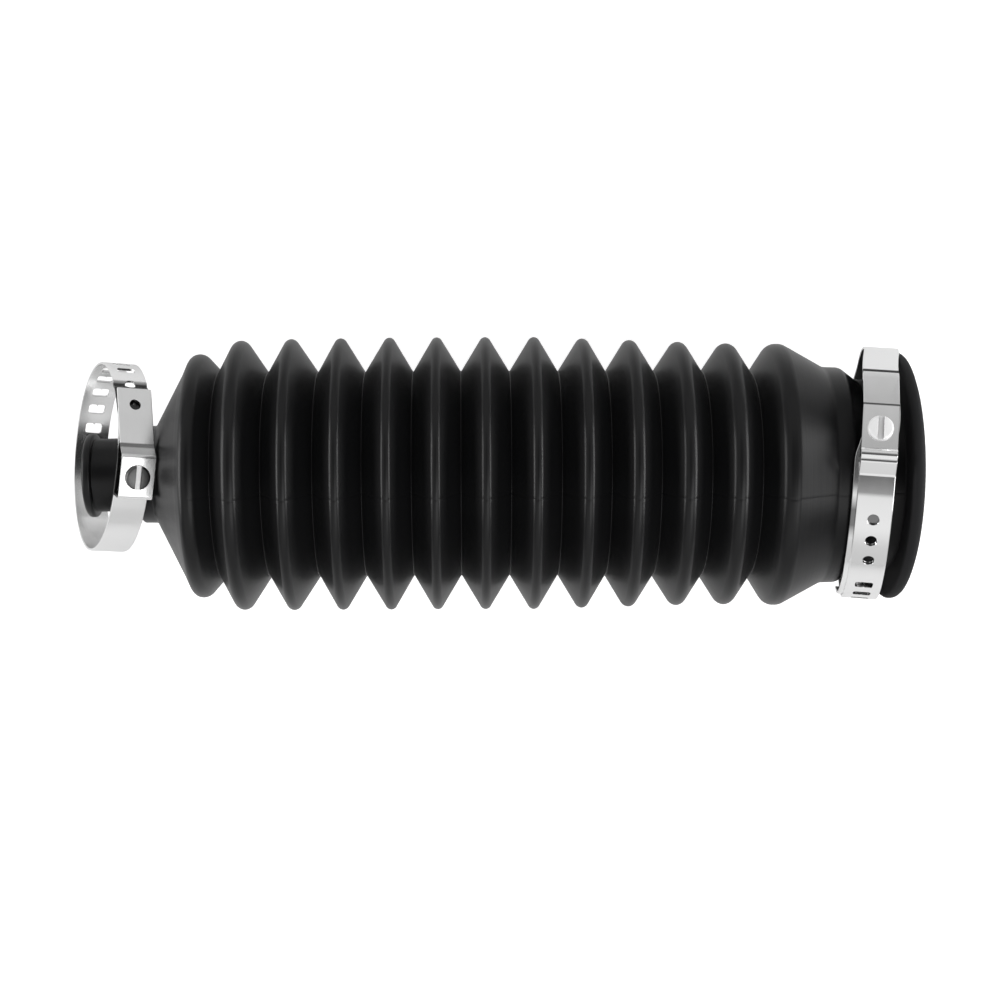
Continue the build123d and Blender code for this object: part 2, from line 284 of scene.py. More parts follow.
bow = boot.modifiers.new("bow", "SIMPLE_DEFORM")
bow.deform_method, bow.deform_axis = "BEND", "Z"
bow.angle = bow_angle
bpy.ops.object.modifier_apply(modifier="bow")
bpy.ops.object.mode_set(mode="EDIT")
bpy.ops.mesh.select_all(action="SELECT")
bpy.ops.transform.rotate(value=bow_turned_back, orient_axis="Z",
                         center_override=(0, 0, axis_z * mm))
bpy.ops.transform.translate(value=(0, bow_moved_back, 0))
drag(lambda co: co.x < cuff_end, cuff_way, cuff_reach)
drag(lambda co: co.x > lip_start, lip_way, lip_reach)
boot = close_mesh(smooth_angle=60)
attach(boot, "boot")
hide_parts("bellows")
print("the boot's box is", [round(side / mm, 1) for side in boot.dimensions], "mm")

# %% [markdown]
# ## The two band clamps
# Each clamp is one long strip of steel. It starts as a tongue on the outside, rises to a flat
# bridge that carries the screw, comes down again, goes once round, dives under its own tongue and
# ends inside. Its side view is a single line in the ring's plane, so that line is drawn first:
# points are pulled for the straight parts and spun round the ring's centre for the round ones.
# The tongue is flat, so its free end stands a little off the ring. A plain cylinder wall would
# make a ring too, but only a strip can overlap itself as the real one does.

# %% What both clamps share
strap_width, strap_thickness, layer_step = 7.5 * mm, 0.6 * mm, 0.68 * mm
hole_radius, screw_hole = 1.2 * mm, 1.6 * mm
rung_pitch = 5.0 * mm
turn_step = 3.0  # degrees from one point of the ring to the next
slide_steps = 10


def at_angle(radius, angle):
    """A place in the ring's plane, its angle in degrees from the ring's top."""
    turn = math.radians(angle)
    return Vector((math.sin(turn), math.cos(turn), 0)) * radius


def spin_round(degrees):
    """Carries the selected point round the ring's centre."""
    bpy.ops.mesh.spin(steps=max(1, round(abs(degrees) / turn_step)), angle=math.radians(degrees),
                      center=(0, 0, 0), axis=(0, 0, 1))


def slide(start_angle, end_angle, start_radius, end_radius):
    """Places that pass smoothly from one radius to another while they go round."""
    row = []
    for number in range(slide_steps + 1):
        share = number / slide_steps
        ease = share * share * (3 - 2 * share)
        row.append(at_angle(start_radius + (end_radius - start_radius) * ease,
                            start_angle + (end_angle - start_angle) * share))
    return row


print("the steel is", round(strap_width / mm, 1), "mm wide and", round(strap_thickness / mm, 1),
      "mm thick")

# %% [markdown]
# The line is made a curve, which will bend a flat strip. A curve made from a mesh may run either
# way, so it is turned if it doesn't start at the tongue.

# %% Draw a clamp's line
foot_round = 0.8  # mm, where the tongue bends up to the bridge
straight_room, dive_room = 8, 2  # degrees, after the bridge and before the tongue's foot


def tongue_place(ring, span, angle):
    """A place on the flat tongue, which touches the ring only at its middle."""
    middle = (span[0] + span[1]) / 2
    return at_angle((ring + layer_step) / math.cos(math.radians(angle - middle)), angle)


def draw_strap_line(name, ring, tongue_end, bridge, plunge, dip=()):
    """The strap's middle line: tongue, bridge, one turn with an optional dip, plunge and tail."""
    foot, down = tongue_end[1], bridge[-1][1]
    turned, dive = down + straight_room, 360 + foot - dive_room
    corners = [(tongue_place(ring, tongue_end, tongue_end[0]), 0),
               (tongue_place(ring, tongue_end, foot), foot_round)]
    corners += [(place, rounding) for place, _, rounding in bridge]
    corners.append((at_angle(ring, turned), 0))
    places = [place for place, _ in corners]
    start_point(name, places[0])
    draw_through(places)
    if dip:
        spin_round(dip[0][0] - turned)
        draw_through([at_angle(ring + depth, angle) for angle, depth in dip])
        turned = dip[-1][0]
    spin_round(dive - turned)
    draw_through(slide(dive, 360 + plunge[0], ring, ring - layer_step))
    spin_round(plunge[1] - plunge[0])
    for number in range(1, len(corners) - 1):
        round_corner(*places[number - 1:number + 2], corners[number][1], segments=6)
    bpy.ops.object.mode_set(mode="OBJECT")
    bpy.ops.object.convert(target="CURVE")
    curve = bpy.context.object
    if (curve.data.splines[0].points[0].co.to_3d() - places[0]).length > 0.1 * mm:
        bpy.ops.object.mode_set(mode="EDIT")
        bpy.ops.curve.select_all(action="SELECT")
        bpy.ops.curve.switch_direction()
        bpy.ops.object.mode_set(mode="OBJECT")
    curve.data.twist_mode = "Z_UP"
    return curve


print("a strap's line bends up to its bridge with a radius of", foot_round, "mm")

# %% [markdown]
# A hole in the strap is easiest to place by its angle round the ring, but it is punched while the
# strip is flat. So the line's points are walked through until two of them lie on either side of
# that angle, and the length travelled so far says where the hole goes. The strap passes some
# angles more than once, so the radius tells its layers apart.

# %% Measure along a clamp's line
layer_reach = 0.25 * mm  # less than half the step from one layer of the strap to the next


def stations(curve):
    """Each point of the curve, with its distance from the curve's start."""
    row, travelled = [], 0
    points = [point.co.to_3d() for point in curve.data.splines[0].points]
    for number, place in enumerate(points):
        travelled += (place - points[number - 1]).length if number else 0
        row.append((travelled, place))
    return row


def length_at(row, angle, radius):
    """How far along the strip it passes an angle, near a radius."""
    aim = at_angle(1, angle)
    for (before, start), (_, end) in zip(row, row[1:]):
        side_before, side_after = start.cross(aim).z, end.cross(aim).z
        if side_before >= 0 > side_after or side_before <= 0 < side_after:
            share = side_before / (side_before - side_after)
            place = start.lerp(end, share)
            if place.dot(aim) > 0 and abs(place.length - radius) < layer_reach:
                return before + (end - start).length * share
    raise ValueError("the strap doesn't pass %.1f degrees at that radius" % angle)


print("layers are told apart within", round(layer_reach / mm, 2), "mm")

# %% [markdown]
# The strip is cut from sheet as a real one is: a long flat bar with eased edges, round holes, and
# a ladder of slots with one small tooth each. All cutting is done while the strip is flat,
# because clean holes are easy there. A Boolean takes the cutters away from the bar, and a narrow
# bevel breaks the sharp rims they leave.

# %% Punches for the holes and the ladder
punch_depth = 3 * mm
rung_along, rung_across, tooth = 1.2 * mm, 1.85 * mm, 0.17 * mm  # each half of a size
rung_round = 0.6


def round_punch(name, place, across=0, radius=hole_radius):
    """A cylinder through the flat strip."""
    bpy.ops.mesh.primitive_cylinder_add(vertices=32, radius=radius, depth=punch_depth,
                                        location=(place, 0, across), rotation=(math.pi / 2, 0, 0))
    bpy.context.object.name = name
    bpy.ops.object.transform_apply()
    return bpy.context.object


def rung_punch(name):
    """One ladder slot with its tooth: an outline with rounded corners, pulled into a block."""
    along, across, tip = rung_along, rung_across, rung_along - 2 * tooth
    shape = [Vector((x, -punch_depth / 2, z)) for x, z in
             ((-along, -across), (-along, across), (along, across), (along, tooth),
              (tip, tooth), (tip, -tooth), (along, -tooth), (along, -across))]
    outer_corners = (0, 1, 2, 7)
    piece = start_point(name, shape[0])
    draw_through(shape)
    bpy.ops.mesh.select_all(action="SELECT")
    bpy.ops.mesh.edge_face_add()
    for number in outer_corners:
        after = shape[(number + 1) % len(shape)]
        round_corner(shape[number - 1], shape[number], after, rung_round, segments=5)
    bpy.ops.mesh.select_all(action="SELECT")
    bpy.ops.mesh.extrude_region_move(TRANSFORM_OT_translate={"value": (0, punch_depth, 0)})
    bpy.ops.mesh.select_all(action="SELECT")
    bpy.ops.mesh.normals_make_consistent(inside=False)
    bpy.ops.object.mode_set(mode="OBJECT")
    return piece


def repeat_along(master, distances):
    """Copies of a punch at each distance along the strip, and the master is taken away."""
    copies = []
    for distance in distances:
        bpy.ops.object.select_all(action="DESELECT")
        master.select_set(True)
        bpy.context.view_layer.objects.active = master
        bpy.ops.object.duplicate()
        bpy.context.object.location.x = distance
        copies.append(bpy.context.object)
    bpy.data.objects.remove(master)
    return copies


def ladder(name, row, radius, first_angle, step, count):
    """Punches for a row of slots, by the angle of the first and the step to the next."""
    distances = [length_at(row, first_angle + step * number, radius) for number in range(count)]
    return repeat_along(rung_punch(name), distances)


print("slots are", round(2 * rung_along / mm, 1), "by", round(2 * rung_across / mm, 1), "mm")

# %% [markdown]
# A cube is stretched to the flat bar. Its long edges are eased first, as rolled steel has them.
# The punches are joined, so that one Boolean takes them all away, and then every edge that is
# still sharp gets its narrow bevel.

# %% Make the flat strip
eased_edge, broken_edge, sharp_angle = 0.15 * mm, 0.06 * mm, math.radians(70)


def cut_away(piece, punches):
    """Joins the punches and takes them out of the piece."""
    bpy.ops.object.select_all(action="DESELECT")
    for punch in punches:
        punch.select_set(True)
    bpy.context.view_layer.objects.active = punches[0]
    bpy.ops.object.transform_apply()
    if len(punches) > 1:
        bpy.ops.object.join()
    tool = bpy.context.object
    bpy.ops.object.select_all(action="DESELECT")
    piece.select_set(True)
    bpy.context.view_layer.objects.active = piece
    cut = piece.modifiers.new("cut", "BOOLEAN")
    cut.operation, cut.solver, cut.object = "DIFFERENCE", "EXACT", tool
    bpy.ops.object.modifier_apply(modifier="cut")
    bpy.data.objects.remove(tool)


def break_edges(width):
    """Bevels every sharp edge of the open mesh a little."""
    bpy.ops.mesh.select_mode(type="EDGE")
    bpy.ops.mesh.select_all(action="DESELECT")
    bpy.ops.mesh.edges_select_sharp(sharpness=sharp_angle)
    bpy.ops.mesh.bevel(offset=width, segments=1)
    bpy.ops.mesh.select_mode(type="VERT")


def flat_strip(name, length, punches):
    """A straight strip along X with eased edges and its holes, open in edit mode."""
    bpy.ops.mesh.primitive_cube_add(size=1)
    strip = bpy.context.object
    strip.name = strip.data.name = name
    bpy.ops.object.mode_set(mode="EDIT")
    bpy.ops.transform.resize(value=(length, strap_thickness, strap_width))
    bpy.ops.transform.translate(value=(length / 2, 0, 0))
    bpy.ops.mesh.bevel(offset=eased_edge, segments=2)
    bpy.ops.object.mode_set(mode="OBJECT")
    cut_away(strip, punches)
    bpy.ops.object.mode_set(mode="EDIT")
    break_edges(broken_edge)
    return strip


print("a strip's edges are eased by", round(eased_edge / mm, 2), "mm, its holes' by",
      round(broken_edge / mm, 2), "mm")

# %% [markdown]
# Then the strip is cut across at every point of the line, so that it can bend there, and a Curve
# modifier lays it along the line. The flat strip's own length and width are kept as a UV map
# first: they follow the steel wherever it bends, and the brushed finish will be drawn on them.

# %% Bend the strip and stand it up
def bend_strip(strip, curve, row, ring_frame, moved_aside=()):
    """Cuts the open flat strip at each station, bends it along the curve and stands it up.

    The stretches to move aside first are given as (start, end, how far, reach of the soft ends).
    """
    for distance, _ in row[1:-1]:
        bpy.ops.mesh.select_all(action="SELECT")
        bpy.ops.mesh.bisect(plane_co=(distance, 0, 0), plane_no=(1, 0, 0))
    bpy.ops.mesh.select_all(action="SELECT")
    bpy.ops.uv.cube_project(cube_size=1.0, correct_aspect=False)
    for start, end, shift, reach in moved_aside:
        drag(lambda co: start < co.x < end, (0, 0, shift), reach)
    bpy.ops.object.mode_set(mode="OBJECT")
    bend = strip.modifiers.new("bend", "CURVE")
    bend.object, bend.deform_axis = curve, "POS_X"
    bpy.ops.object.modifier_apply(modifier="bend")
    bpy.data.objects.remove(curve)
    strip.matrix_world = ring_frame
    bpy.ops.object.transform_apply()
    return close_mesh(smooth_angle=22, flat_faces=True)


def frame_of(origin, across, up, axis):
    """A matrix from the ring's own plane to its place on the table."""
    turn = Matrix((across, up, axis)).transposed().to_4x4()
    return Matrix.Translation(Vector(origin) * mm) @ turn


# %% [markdown]
# ## The small clamp
# It leans on the boot's neck, its bridge stands high, and its screw sits on a square of flat
# steel. Just before the tongue's end the strip dips into a shallow groove across its width, which
# keeps the tongue's end from catching, so the line gets a dip of about half a millimetre there.
# Drawn in the line, the groove bends both faces of the steel, as a press does.

# %% The small clamp's line
small_ring, small_plate = 20.994 * mm, 24.994 * mm
small_frame = frame_of((-82.397, 3.95, 20.946), (-0.059306, -0.99824, 0),
                       (0.411584, -0.024453, 0.911044), (-0.90944, 0.054031, 0.41231))
small_tongue, small_plunge = (-42.0, -7.5), (15.8, 33.0)  # degrees
small_bridge = [(at_angle(radius, angle), angle, 0.6) for radius, angle in
                ((small_plate, -1.0), (small_plate, 19.8), (small_ring, 21.6))]
dip_from, dip_step, dip_steps, dip_depth = 360 - 53.0, 0.7, 10, 0.42 * mm
small_dip = [(dip_from + dip_step * number,
              -dip_depth * math.sin(math.pi * number / dip_steps) ** 2)
             for number in range(dip_steps + 1)]
small_curve = draw_strap_line("small_strap_line", small_ring, small_tongue, small_bridge,
                              small_plunge, small_dip)
small_row = stations(small_curve)
small_length = small_row[-1][0]
print("the small strap is", round(small_length / mm, 1), "mm long")

# %% [markdown]
# The tongue has a hole near its end, the strap has one beyond it, and the screw's hole lies in the
# bridge. The ladder lies on the ring's side, past the second hole, and goes a third of the way
# round.

# %% The small clamp's strap
small_step = math.degrees(rung_pitch / small_ring)
tongue_hole = length_at(small_row, -32.0, small_ring + 1.2 * layer_step)
strap_hole = length_at(small_row, -50.0, small_ring - 0.25 * mm)
small_screw_hole = length_at(small_row, 9.2, small_plate - 0.4 * mm)
small_punches = [round_punch("tongue_hole", tongue_hole), round_punch("strap_hole", strap_hole),
                 round_punch("screw_hole", small_screw_hole, radius=screw_hole),
                 *ladder("small_rung", small_row, small_ring, 360 - 66.0, -small_step, count=9)]
small_strap = flat_strip("small_clamp_strap", small_length, small_punches)
small_strap = bend_strip(small_strap, small_curve, small_row, small_frame)
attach(small_strap, "boot")
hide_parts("small_strap")
print("the small strap has", len(small_strap.data.polygons), "faces")

# %% [markdown]
# ## The big clamp
# This one lies lower on its ring: its bridge is long and flat, with a rib pressed across its end
# that stiffens the steel where the screw pulls. The rib is drawn in the line too, as four corners
# that step up from the bridge and down again.

# %% The big clamp's line
big_ring, big_plate = 27.6 * mm, 29.5 * mm
big_frame = frame_of((86.643, 0.4, 28.151), (-0.071497, -0.997441, 0),
                     (-0.137093, 0.009827, 0.990509), (-0.987975, 0.070819, -0.137445))
big_tongue, big_plunge = (-48.0, -44.0), (-8.0, 104.0)  # degrees
plate_start, plate_end, big_foot = -28.0, -4.0, 1.3
plate_from, plate_to = at_angle(big_plate, plate_start), at_angle(big_plate, plate_end)
plate_run = (plate_to - plate_from).normalized()
plate_out = Vector((-plate_run.y, plate_run.x, 0))
rib_shape = ((2.6, 0, 0.3), (1.95, 0.5, 0.4), (1.25, 0.5, 0.4), (0.6, -0.05, 0.15))
rib = [(plate_to - plate_run * back * mm + plate_out * up * mm, plate_end, rounding)
       for back, up, rounding in rib_shape]
big_bridge = ((plate_from, plate_start, 0.5), *rib, (plate_to, plate_end, 0.5),
              (at_angle(big_ring, big_foot), big_foot, 1.5))
big_curve = draw_strap_line("big_strap_line", big_ring, big_tongue, big_bridge, big_plunge)
big_row = stations(big_curve)
big_length = big_row[-1][0]
print("the big strap is", round(big_length / mm, 1), "mm long")

# %% [markdown]
# The strap's inner end doesn't run true under the outer one. It has slid about a millimetre
# sideways where it comes out from under the bridge, so a narrow strip of it shows along the edge.
# Its holes and slots still lie under the outer ones, so they are punched as far off the middle
# the other way. Its slots are a little larger, so that their edges stay out of sight. The strap's
# far side stands almost a millimetre nearer to the lip. Bending the strip's line out of its plane
# would twist the steel, so these stretches are moved aside while the strip is still flat.

# %% The big clamp's strap
big_step = math.degrees(rung_pitch / big_ring)
tail_ring, tail_aside, tail_rung_size = big_ring - layer_step, 1.0 * mm, (1.15, 1, 1.1)
big_screw_hole = length_at(big_row, -17.8, big_plate - 0.5 * mm)
first_rung = 60.6
big_punches = [round_punch("outer_hole", length_at(big_row, 21.3, big_ring)),
               round_punch("screw_hole", big_screw_hole, radius=screw_hole)]
for angle in (31.5, 42.2):
    big_punches.append(round_punch("band_hole", length_at(big_row, angle, big_ring)))
    big_punches.append(round_punch("tail_hole", length_at(big_row, angle, tail_ring), -tail_aside))
big_punches += ladder("big_rung", big_row, big_ring, first_rung, big_step, count=11)
tail_rungs = ladder("tail_rung", big_row, tail_ring, first_rung, big_step, count=4)
for rung in tail_rungs:
    rung.location.z = -tail_aside
    rung.scale = tail_rung_size
big_strap = flat_strip("big_clamp_strap", big_length, big_punches + tail_rungs)
tail_from = length_at(big_row, -6.0, tail_ring)
far_from, far_to = (length_at(big_row, angle, big_ring) for angle in (-115.0, -80.0))
moved_aside = ((tail_from, 1, tail_aside, 5 * mm),
               (tail_from - 11 * mm, tail_from - 7 * mm, -0.4 * tail_aside, 6 * mm),
               (far_from, far_to, -0.8 * mm, 14 * mm))
big_strap = bend_strip(big_strap, big_curve, big_row, big_frame, moved_aside)
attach(big_strap, "boot")
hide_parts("big_strap")
print("the big strap has", len(big_strap.data.polygons), "faces")

# %% [markdown]
# ## The screws
# A screw is round, so half of its side view is drawn and spun: a slightly domed head, the shank
# that goes through the strap, and the swaged collar that keeps it from falling out. A cylinder
# with bevelled edges would serve for the head alone. The slot is cut with a Boolean, and its sharp
# edges are broken. Screwdrivers have worn the slot's floor bright, and the slot's walls are painted
# dark as shade, so they get material slots of their own.

# %% A slotted screw, made twice
head_top = 1.14
screw_shape = ((0, head_top), (1.2, 1.1), (2.3, 0.98), (2.65, 0.72), (2.65, 0.05),  # the head
               (1.5, 0.05), (1.5, -0.65),  # the shank
               (2.2, -0.65), (2.2, -1.0), (0, -1.0))  # the collar
screw_rounding = ((2, 0.5), (3, 0.4), (4, 0.1), (8, 0.15))  # a corner's number, its rounding
blade_size = (1.2 * mm, 7 * mm, 1.4 * mm)  # the lower half of its height cuts the slot
slot_reach, slot_floor = 0.62 * mm, 0.4 * mm  # just outside the slot's walls and its floor
slot_edge = 0.05 * mm


def slotted_screw(name, place):
    """Spins a screw about Z with its seat at the origin, slots it and puts it in its place."""
    half = [Vector((radius, 0, height)) * mm for radius, height in screw_shape]
    screw = start_point(name, half[0])
    draw_through(half)
    for number, rounding in screw_rounding:
        round_corner(*half[number - 1:number + 2], rounding, segments=3)
    spin_whole(64, (0, 0, 0), (0, 0, 1))
    bpy.ops.object.mode_set(mode="OBJECT")
    bpy.ops.mesh.primitive_cube_add(size=1)
    blade = bpy.context.object
    blade.scale = blade_size
    blade.location = (0, 0, head_top * mm)
    cut_away(screw, [blade])
    bpy.ops.object.mode_set(mode="EDIT")
    break_edges(slot_edge)
    bpy.ops.object.mode_set(mode="OBJECT")
    # The slot's floor gets the worn steel and its walls the painted shade.
    for face in screw.data.polygons:
        if abs(face.center.x) < slot_reach and face.center.z > slot_floor:
            face.material_index = 1 if face.normal.z > 0.7 else 2
    screw.matrix_world = place
    bpy.ops.object.transform_apply()
    return close_mesh(smooth_angle=30, flat_faces=True)


def screw_place(origin, axis, across):
    """A matrix that seats a screw on its plate, its slot along the strap."""
    axis, across = Vector(axis), Vector(across)
    return frame_of(origin, across, axis.cross(across), axis)


small_screw = slotted_screw("small_clamp_screw", screw_place(
    (-72.5226, -0.622093, 43.3248), (0.396371, -0.187163, 0.89881), (-0.90944, 0.054031, 0.41231)))
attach(small_screw, "small_screw")
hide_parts("small_screw")
big_screw = slotted_screw("big_clamp_screw", screw_place(
    (83.4733, 9.56716, 55.6604), (-0.112075, 0.284378, 0.952139), (-0.987975, 0.070819, -0.137445)))
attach(big_screw, "big_screw")
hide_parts("big_screw")
print("each screw has", len(big_screw.data.polygons), "faces")

# %% [markdown]
# ## Materials
# All finishes are made of nodes. They need no image files, and they stay sharp at any distance.
# Rubber, strap and screw each need noise, a value moved to another range and a bump, so those get
# helpers. Noise is stretched by scaling its coordinates.

# %% Node helpers
noise_range = (0.3, 0.7)  # most of a noise lies between these


def new_material(name):
    """A material with its nodes, its links and its shader."""
    material = bpy.data.materials.new(name)
    material.use_nodes = True
    nodes = material.node_tree.nodes
    return material, nodes, material.node_tree.links, nodes["Principled BSDF"]


def stretched_noise(nodes, links, grains, source="Object", detail=4):
    """Noise with its own number of grains per metre along each axis."""
    place = nodes.new("ShaderNodeTexCoord")
    mapping = nodes.new("ShaderNodeMapping")
    mapping.inputs["Scale"].default_value = grains
    noise = nodes.new("ShaderNodeTexNoise")
    noise.inputs["Scale"].default_value = 1
    noise.inputs["Detail"].default_value = detail
    links.new(place.outputs[source], mapping.inputs["Vector"])
    links.new(mapping.outputs["Vector"], noise.inputs["Vector"])
    return noise.outputs["Fac"]


def spread(nodes, links, value, low, high, start=0.0, end=1.0):
    """Maps a value's range from start to end onto another range."""
    node = nodes.new("ShaderNodeMapRange")
    for socket, number in (("From Min", start), ("From Max", end),
                           ("To Min", low), ("To Max", high)):
        node.inputs[socket].default_value = number
    links.new(value, node.inputs["Value"])
    return node.outputs["Result"]


def scaled(nodes, links, value, factor):
    """A value times a number."""
    node = nodes.new("ShaderNodeMath")
    node.operation = "MULTIPLY"
    node.inputs[1].default_value = factor
    links.new(value, node.inputs[0])
    return node.outputs[0]


def added(nodes, links, one, other):
    """The sum of two values."""
    node = nodes.new("ShaderNodeMath")
    links.new(one, node.inputs[0])
    links.new(other, node.inputs[1])
    return node.outputs[0]


def bump(nodes, links, shader, height, distance):
    """Lets a height tilt the shader's surface."""
    node = nodes.new("ShaderNodeBump")
    node.inputs["Distance"].default_value = distance
    links.new(height, node.inputs["Height"])
    links.new(node.outputs["Normal"], shader.inputs["Normal"])


print("noise is read from", noise_range[0], "to", noise_range[1])

# %% [markdown]
# The rubber is almost black. What the eye sees on it is mostly its soft shine: grey along the
# silhouettes, where it is seen at a grazing angle, and thin bright lines on the crests. Plain
# black without that shine would show no folds at all. Towards the big end the shine fades. The
# fade is a share that multiplies the plain shine last, because an exported model keeps such a
# plain number and drops the rest. Fine rings left by the mould's turning run round the boot, so
# the bump changes along the boot's length far faster than round it. The lip was trimmed after
# moulding, so it is duller.

# %% Rubber
shine = 0.25
fade_from, fade_to, faded_share = 62 * mm, 78 * mm, 0.64
ring_grains, ring_height = (1800, 30, 30), 0.00002
rubber, nodes, links, shader = new_material("black_rubber")
shader.inputs["Base Color"].default_value = (0.006, 0.006, 0.0065, 1)
place = nodes.new("ShaderNodeTexCoord")
split = nodes.new("ShaderNodeSeparateXYZ")
links.new(place.outputs["Object"], split.inputs[0])
fade = spread(nodes, links, split.outputs["X"], 1, faded_share, fade_from, fade_to)
links.new(scaled(nodes, links, fade, shine), shader.inputs["Specular IOR Level"])
patches = stretched_noise(nodes, links, (60, 60, 60))
links.new(spread(nodes, links, patches, 0.3, 0.38, *noise_range), shader.inputs["Roughness"])
bump(nodes, links, shader, stretched_noise(nodes, links, ring_grains), ring_height)
boot.data.materials.append(rubber)

trimmed_from = 89.5 * mm
dull_rubber, nodes, links, shader = new_material("dull_rubber")
shader.inputs["Base Color"].default_value = (0.015, 0.015, 0.016, 1)
shader.inputs["Specular IOR Level"].default_value = 0.15
shader.inputs["Roughness"].default_value = 0.7
boot.data.materials.append(dull_rubber)
for face in boot.data.polygons:
    face.material_index = int(face.center.x > trimmed_from)
print("rubber is on", boot.name)

# %% [markdown]
# The straps are polished stainless steel, rolled along their length, so faint lines follow the
# strip wherever it bends. They are drawn on the strip's own UV map, where the first number runs
# along the steel and the second across it. On Object coordinates the lines would cross the ring
# instead of going round with it. On the small clamp, shade is painted dark into the steel: over
# the groove and the steel under the tongue's lifted end, in the corner where the bridge rises,
# and on the strap's inner end under the outer turn.

# %% Strap steel
clean_steel = 0.84
line_grains, rolled_height = (150, 9000, 1), 0.0000006


def strap_steel(name, grey, rough):
    """Polished steel with rolling lines along the strip."""
    material, nodes, links, shader = new_material(name)
    shader.inputs["Metallic"].default_value = 1
    lines = stretched_noise(nodes, links, line_grains, "UV")
    cloud = stretched_noise(nodes, links, (90, 200, 1), "UV", detail=3)
    uneven = spread(nodes, links, cloud, rough * 0.8, rough * 1.3, *noise_range)
    links.new(uneven, shader.inputs["Roughness"])
    bump(nodes, links, shader, lines, rolled_height)
    shader.inputs["Base Color"].default_value = (grey, grey, grey * 0.99, 1)
    return material, nodes, links, shader


def paint_shade_bands(nodes, links, shader, bands):
    """Paints bands of shade across the strip. Each is (start, end, width of its soft sides, grey).
    """
    place = nodes.new("ShaderNodeTexCoord")
    along = nodes.new("ShaderNodeSeparateXYZ")
    links.new(place.outputs["UV"], along.inputs[0])
    grey_here = spread(nodes, links, along.outputs[0], clean_steel, clean_steel)
    for start, end, soft, grey in bands:
        change = grey - clean_steel
        darker = spread(nodes, links, along.outputs[0], 0, change, start - soft, start)
        lighter = spread(nodes, links, along.outputs[0], 0, -change, end, end + soft)
        grey_here = added(nodes, links, grey_here, added(nodes, links, darker, lighter))
    links.new(grey_here, shader.inputs["Base Color"])


def map_at(row, angle, radius):
    """The UV length where a strip passes an angle, near a radius."""
    return 0.5 - row[-1][0] / 2 + length_at(row, angle, radius)


small_steel, nodes, links, shader = strap_steel("small_strap_steel", clean_steel, 0.2)
# Painted shade: over the groove and the steel under the tongue's lifted end, in the corner where
# the bridge rises, and on the strap's inner end.
tongue_shade_from, tongue_shade_to = (map_at(small_row, angle, small_ring - 0.2 * mm) for angle in (-50.5, -30.0))
foot = map_at(small_row, -9.0, small_ring + 1.6 * mm) + 0.6 * mm
dive = map_at(small_row, -5.0, small_ring)
paint_shade_bands(nodes, links, shader, [(tongue_shade_from, tongue_shade_to, 1.2 * mm, 0.05),
                             (foot, foot + 0.9 * mm, 0.4 * mm, 0.2),
                             (foot + 1.3 * mm, foot + 3.0 * mm, 0.3 * mm, 0.5),
                             (dive, 1.0, 2.0 * mm, 0.08)])
small_strap.data.materials.append(small_steel)
print("the small strap is shaded from", round(tongue_shade_from, 4), "to", round(tongue_shade_to, 4))

# %% [markdown]
# On the big strap two thin lines of painted shade cross the steel: a painted shadow in front of
# the tongue's end, and painted shade in the crease where the flat bridge starts. The steel that
# shows through the first hole is painted dark as shade. The strap's whole inside is painted dark
# as shade and made rougher, so the faces that look at the ring's centre get a material of their
# own. A colour ramp would blur such thin lines, so the bands are cut out of the UV length with
# Map Range nodes.

# %% The big strap's dark lines
big_steel, nodes, links, shader = strap_steel("big_strap_steel", clean_steel, 0.13)
# Painted shade: a line in the crease where the bridge starts, a painted shadow in front of the
# tongue's end, and the steel seen through the first hole.
crease_shade = map_at(big_row, plate_start, big_plate)
tongue_end_shadow = map_at(big_row, -51.3, big_ring)
hole_shade_from, hole_shade_to = (map_at(big_row, angle, tail_ring) for angle in (17.5, 25.0))
paint_shade_bands(nodes, links, shader, [(crease_shade - 0.15 * mm, crease_shade + 0.05 * mm, 0.15 * mm, 0.12),
                             (tongue_end_shadow, tongue_end_shadow + 1.2 * mm, 0.15 * mm, 0.05),
                             (hole_shade_from, hole_shade_to, 3.0 * mm, 0.2)])
# The strap's inside is painted dark as shade, and made rougher.
inside_shade = strap_steel("painted_shade_inside_steel", 0.12, 0.4)[0]
big_strap.data.materials.append(big_steel)
big_strap.data.materials.append(inside_shade)
for face in big_strap.data.polygons:
    inward = (big_frame.translation - face.center).normalized()
    face.material_index = int(face.normal.dot(inward) > 0.9)
print("the lines cross at", round(crease_shade, 4), "and", round(tongue_end_shadow, 4))

# %% [markdown]
# The two screws don't look alike. The small clamp's is dark and smooth. The big clamp's has a
# light, rough head that scatters what falls on it, so it is made hardly metallic. One helper could
# serve straps and screws, but a round screw has no rolling lines. Its grain is the same in all
# directions, and it turns with the screw, because it is drawn on Object coordinates.

# %% Screw steel
def screw_steel(name, grey, rough, metallic):
    """Grained steel."""
    material, nodes, links, shader = new_material(name)
    shader.inputs["Metallic"].default_value = metallic
    shader.inputs["Base Color"].default_value = (grey, grey, grey, 1)
    grain = stretched_noise(nodes, links, (2500, 2500, 2500))
    uneven = spread(nodes, links, grain, rough * 0.8, rough * 1.2, *noise_range)
    links.new(uneven, shader.inputs["Roughness"])
    bump(nodes, links, shader, grain, 0.000003)
    return material


worn = screw_steel("worn_slot_steel", 0.95, 0.4, 0.3)
# The slot's walls are painted dark as shade.
slot_wall_shade = screw_steel("painted_shade_slot_steel", 0.04, 0.5, 0.5)
for screw, material in ((small_screw, screw_steel("small_screw_steel", 0.13, 0.4, 1)),
                        (big_screw, screw_steel("big_screw_steel", 0.98, 0.45, 0.1))):
    screw.data.materials.append(material)
    screw.data.materials.append(worn)
    screw.data.materials.append(slot_wall_shade)
    print(screw.name, "has", len(screw.data.materials), "finishes")

# %% [markdown]
# ## Table, light and camera
# The table is a white sheet. Lamps strong enough to whiten it would burn out the steel, so it
# glows for the camera instead, and only a little for the shiny metal. Its own grey still carries
# the boot's soft shadow.

